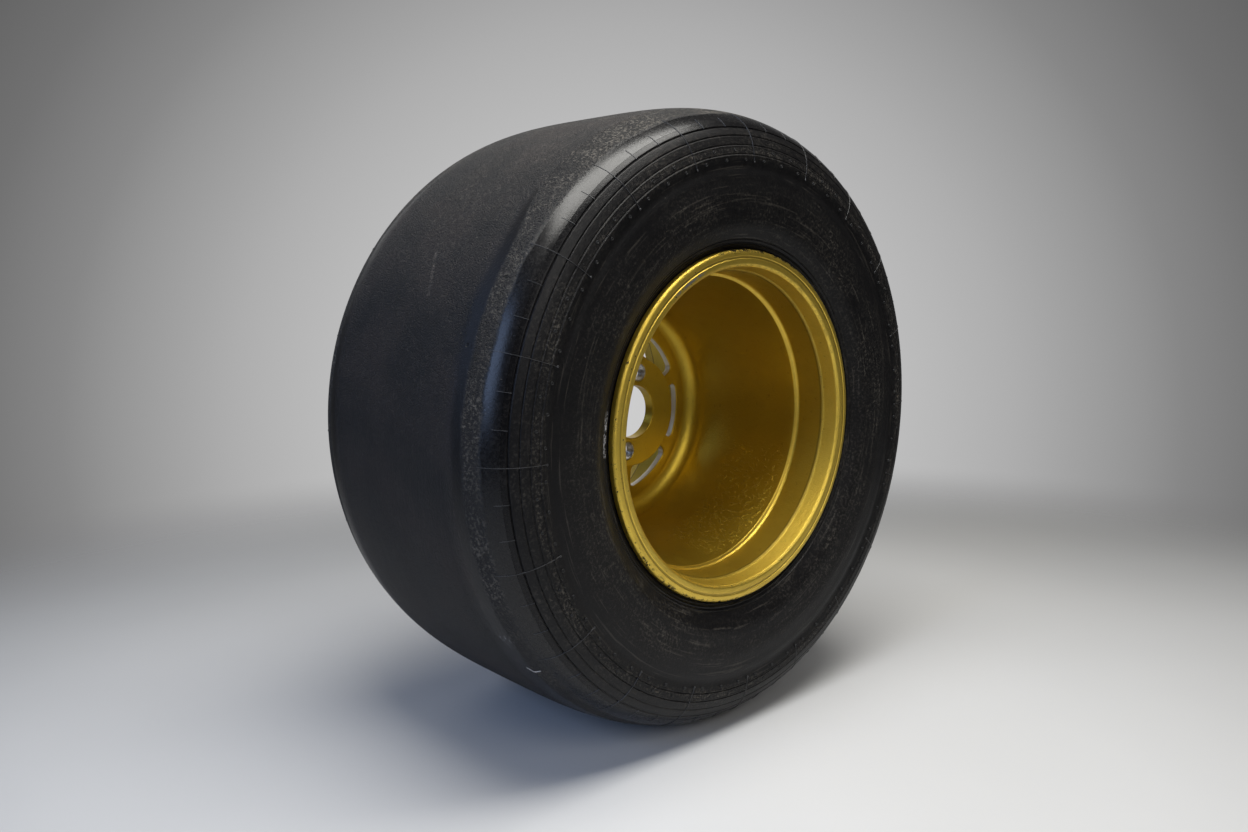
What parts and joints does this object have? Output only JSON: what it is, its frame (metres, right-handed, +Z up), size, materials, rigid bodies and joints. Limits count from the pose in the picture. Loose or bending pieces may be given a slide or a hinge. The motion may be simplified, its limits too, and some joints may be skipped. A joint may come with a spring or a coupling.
{
  "type": "racing wheel and slick tyre",
  "caption": "Wide slick racing tyre mounted on a deep-dish, one-piece cast centre-lock wheel, standing upright on its tread.",
  "frame": {"origin": "wheel centre: on the axle line, half way across the rim", "axes": "+Y along the axle line, away from the open dish; +Z up, the tyre's standing patch at -Z; the open dish faces -Y"},
  "size_m": [0.6486, 0.328, 0.6457],
  "materials": {
    "tread_rubber": "worn matte slick rubber",
    "sidewall_rubber": "satin moulded rubber",
    "ply_fabric": "rubbered cord fabric",
    "liner_rubber": "smooth",
    "bead_wire": "bronze-coated wire",
    "gold_paint": "satin metallic paint over cast magnesium",
    "bush_steel": "worn",
    "valve_brass": "dull nickelled brass",
    "valve_steel": "bright",
    "seal_rubber": "matte",
    "cap_plastic": "knurled"
  },
  "bodies": {
    "wheel_and_tyre": {"tread_cap": "tread_rubber", "sidewall_outer": "sidewall_rubber", "sidewall_inner": "sidewall_rubber", "breaker_ply": "ply_fabric", "carcass_ply": "ply_fabric", "inner_liner": "liner_rubber", "bead_core_outer": "bead_wire", "bead_core_inner": "bead_wire", "bead_filler_outer": "sidewall_rubber", "bead_filler_inner": "sidewall_rubber", "chafer_outer": "ply_fabric", "chafer_inner": "ply_fabric", "wheel_casting": "gold_paint", "drive_bush_1": "bush_steel", "drive_bush_2": "bush_steel", "valve_seal": "seal_rubber", "valve_stem": "valve_brass", "valve_washer": "valve_steel", "valve_nut": "valve_brass", "valve_core": "valve_brass", "valve_spring": "valve_steel"},
    "valve_pin": {"valve_pin": "valve_steel"},
    "cap_washer": {"valve_cap_seal": "seal_rubber"},
    "valve_cap": {"valve_cap": "cap_plastic"}
  },
  "joints": [
    {"name": "valve_pin_press", "type": "slide", "parent": "wheel_and_tyre", "child": "valve_pin", "axis": [-1, 0, 0], "range_m": [0, 0.0016], "stiffness_N_per_m": 900, "springref_m": -0.001, "deforming": ["valve_spring"]},
    {"name": "cap_lift", "type": "slide", "parent": "wheel_and_tyre", "child": "cap_washer", "axis": [1, 0, 0], "range_m": [0, 0.0075]},
    {"name": "cap_turn", "type": "hinge", "parent": "cap_washer", "child": "valve_cap", "pos_m": [-0.108, -0.07, 0], "axis": [1, 0, 0], "range_deg": [0, 3240]}
  ]
}
